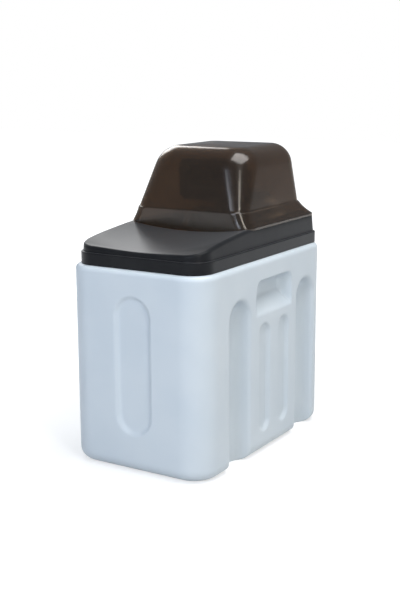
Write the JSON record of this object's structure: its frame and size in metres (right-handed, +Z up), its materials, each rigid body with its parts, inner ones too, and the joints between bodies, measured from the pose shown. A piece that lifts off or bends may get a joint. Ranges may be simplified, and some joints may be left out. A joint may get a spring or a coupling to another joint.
{
  "type": "water softener",
  "caption": "Cabinet water softener with a pale moulded salt cabinet, black deck, smoked lift-off hood, resin vessel, motor-driven valve, brine well and float.",
  "frame": {"origin": "on the floor under the middle of the cabinet", "axes": "+Z up, front towards -Y, +X to the right seen from the front"},
  "size_m": [0.34, 0.55, 0.66],
  "materials": {
    "cabinet_plastic": "pale blue-white moulded polyethylene",
    "deck_plastic": "black moulded plastic, soft sheen",
    "smoked_plastic": "smoked see-through plastic",
    "black_plastic": "black glass-filled plastic",
    "vessel_wrap": "wound glass fibre in blue resin",
    "grey_plastic": "grey moulded plastic",
    "white_plastic": "white moulded plastic",
    "resin_beads": "amber resin beads",
    "seal_rubber": "black rubber",
    "key_plastic": "grey key caps",
    "display_glass": "tinted display window",
    "board_green": "coated circuit board",
    "motor_steel": "plated steel motor can",
    "tube_plastic": "translucent tubing"
  },
  "bodies": {
    "cabinet": {"cabinet_shell": "cabinet_plastic", "pressure_vessel": "vessel_wrap", "vessel_boot": "black_plastic", "riser_tube": "grey_plastic", "bottom_strainer": "grey_plastic", "top_strainer": "grey_plastic", "resin_bed": "resin_beads", "tank_seal": "seal_rubber", "valve_body": "black_plastic", "seal_stack": "grey_plastic", "end_plug": "black_plastic", "drive_motor": "motor_steel", "gear_bracket": "black_plastic", "control_cover": "black_plastic", "control_housing": "black_plastic", "display_window": "display_glass", "display_module": "grey_plastic", "circuit_board": "board_green", "power_jack": "black_plastic", "turbine_cage": "grey_plastic", "port_tails": "grey_plastic", "union_nuts": "black_plastic", "injector_cap": "black_plastic", "injector_nozzle": "white_plastic", "drain_elbow": "grey_plastic", "brine_elbow": "white_plastic", "brine_line": "tube_plastic", "brine_well": "white_plastic", "pickup_tube": "white_plastic", "safety_valve": "white_plastic", "air_check": "white_plastic", "salt_grid": "white_plastic", "overflow_elbow": "black_plastic", "overflow_nut": "black_plastic"},
    "deck": {"deck_cover": "deck_plastic"},
    "hood": {"hood_shell": "smoked_plastic"},
    "well_cap": {"brine_well_cap": "white_plastic"},
    "float": {"brine_float": "white_plastic", "float_rod": "grey_plastic"},
    "drive_wheel": {"drive_gear": "white_plastic"},
    "idler_wheel": {"idler_gear": "white_plastic"},
    "motor_shaft": {"motor_pinion": "white_plastic"},
    "piston_spool": {"piston": "white_plastic"},
    "turbine": {"meter_turbine": "white_plastic"},
    "menu_key": {"menu_key": "key_plastic"},
    "down_key": {"down_key": "key_plastic"},
    "up_key": {"up_key": "key_plastic"},
    "regenerate_key": {"regenerate_key": "key_plastic"}
  },
  "joints": [
    {"name": "deck_lift", "type": "slide", "parent": "cabinet", "child": "deck", "axis": [0, 0, 1], "range_m": [0, 0.24]},
    {"name": "hood_lift", "type": "slide", "parent": "deck", "child": "hood", "axis": [0, 0, 1], "range_m": [0, 0.2]},
    {"name": "well_cap_lift", "type": "slide", "parent": "cabinet", "child": "well_cap", "axis": [0, 0, 1], "range_m": [0, 0.03]},
    {"name": "float_rise", "type": "slide", "parent": "cabinet", "child": "float", "axis": [0, 0, 1], "range_m": [0, 0.012]},
    {"name": "drive_gear_turn", "type": "hinge", "parent": "cabinet", "child": "drive_wheel", "pos_m": [0, 0.06, 0.575], "axis": [0, 1, 0], "range_deg": [0, 720]},
    {"name": "piston_slide", "type": "slide", "parent": "cabinet", "child": "piston_spool", "axis": [0, 1, 0], "range_m": [0, 0.02]},
    {"name": "idler_turn", "type": "hinge", "parent": "cabinet", "child": "idler_wheel", "pos_m": [0.02253, 0.057, 0.59077], "axis": [0, 1, 0], "range_deg": [-1920, 0]},
    {"name": "pinion_turn", "type": "hinge", "parent": "cabinet", "child": "motor_shaft", "pos_m": [0.03687, 0.053, 0.61125], "axis": [0, 1, 0], "range_deg": [0, 4480]},
    {"name": "turbine_spin", "type": "hinge", "parent": "cabinet", "child": "turbine", "pos_m": [0.04, 0.18, 0.495], "axis": [0, 1, 0], "continuous": true},
    {"name": "menu_press", "type": "slide", "parent": "cabinet", "child": "menu_key", "axis": [0, 1, 0], "range_m": [0, 0.0015], "stiffness_N_per_m": 300},
    {"name": "down_press", "type": "slide", "parent": "cabinet", "child": "down_key", "axis": [0, 1, 0], "range_m": [0, 0.0015], "stiffness_N_per_m": 300},
    {"name": "up_press", "type": "slide", "parent": "cabinet", "child": "up_key", "axis": [0, 1, 0], "range_m": [0, 0.0015], "stiffness_N_per_m": 300},
    {"name": "regenerate_press", "type": "slide", "parent": "cabinet", "child": "regenerate_key", "axis": [0, 1, 0], "range_m": [0, 0.0015], "stiffness_N_per_m": 300}
  ],
  "couplings": [
    {"joint": "piston_slide", "follows": "drive_gear_turn", "m_per_rad": 0.0015915},
    {"joint": "idler_turn", "follows": "drive_gear_turn", "ratio": -2.6667},
    {"joint": "pinion_turn", "follows": "drive_gear_turn", "ratio": 6.2222}
  ]
}
